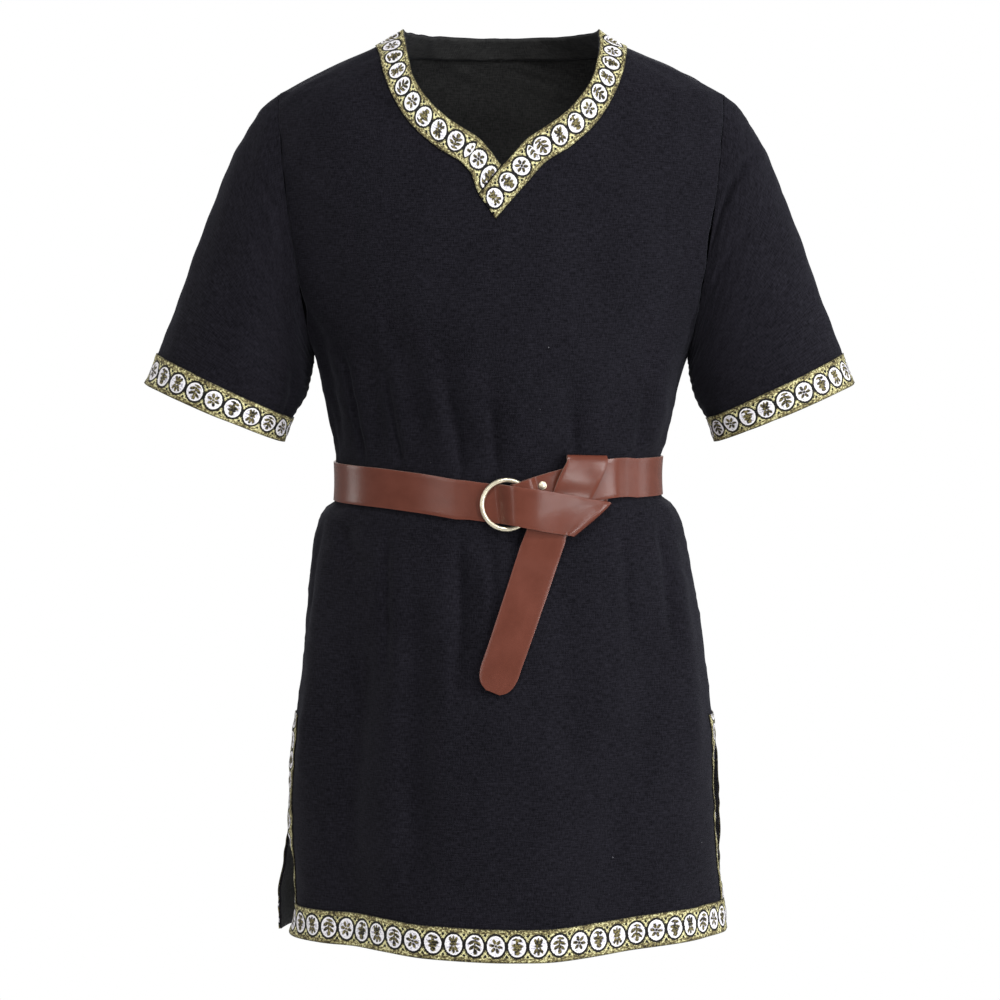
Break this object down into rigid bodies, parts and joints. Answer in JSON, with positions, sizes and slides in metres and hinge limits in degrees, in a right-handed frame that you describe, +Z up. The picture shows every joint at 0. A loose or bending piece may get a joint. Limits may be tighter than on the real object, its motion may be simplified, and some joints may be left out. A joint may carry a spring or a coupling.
{
  "type": "tunic",
  "caption": "Short-sleeved pullover tunic with a V-notched round neck, woven ribbon trim, side slits and a ring belt tied in a half hitch.",
  "frame": {"origin": "middle of the line between the two neck points of the shoulder seams, where the wearer's shoulders carry the tunic", "axes": "+Z up, -Y to the front, +X to the wearer's left"},
  "size_m": [0.708, 0.2856, 0.9047],
  "materials": {
    "black_cloth": "plain-woven black cloth, matt with a faint sheen",
    "woven_ribbon": "jacquard ribbon in olive gold, silvery white and black",
    "brown_leather": "smooth reddish brown leather, satin",
    "pale_brass": "pale antique brass, polished"
  },
  "bodies": {
    "root": {"front": "black_cloth", "back": "black_cloth", "sleeve_left": "black_cloth", "sleeve_right": "black_cloth", "back_neck_facing": "black_cloth", "neck_trim_over": "woven_ribbon", "neck_trim_under": "woven_ribbon", "cuff_trim_left": "woven_ribbon", "cuff_trim_right": "woven_ribbon", "hem_trim_front": "woven_ribbon", "hem_trim_back": "woven_ribbon", "slit_trim_front_left": "woven_ribbon", "slit_trim_front_right": "woven_ribbon", "slit_trim_back_left": "woven_ribbon", "slit_trim_back_right": "woven_ribbon", "belt_strap": "brown_leather", "belt_ring": "pale_brass", "belt_rivet": "pale_brass"}
  },
  "joints": []
}
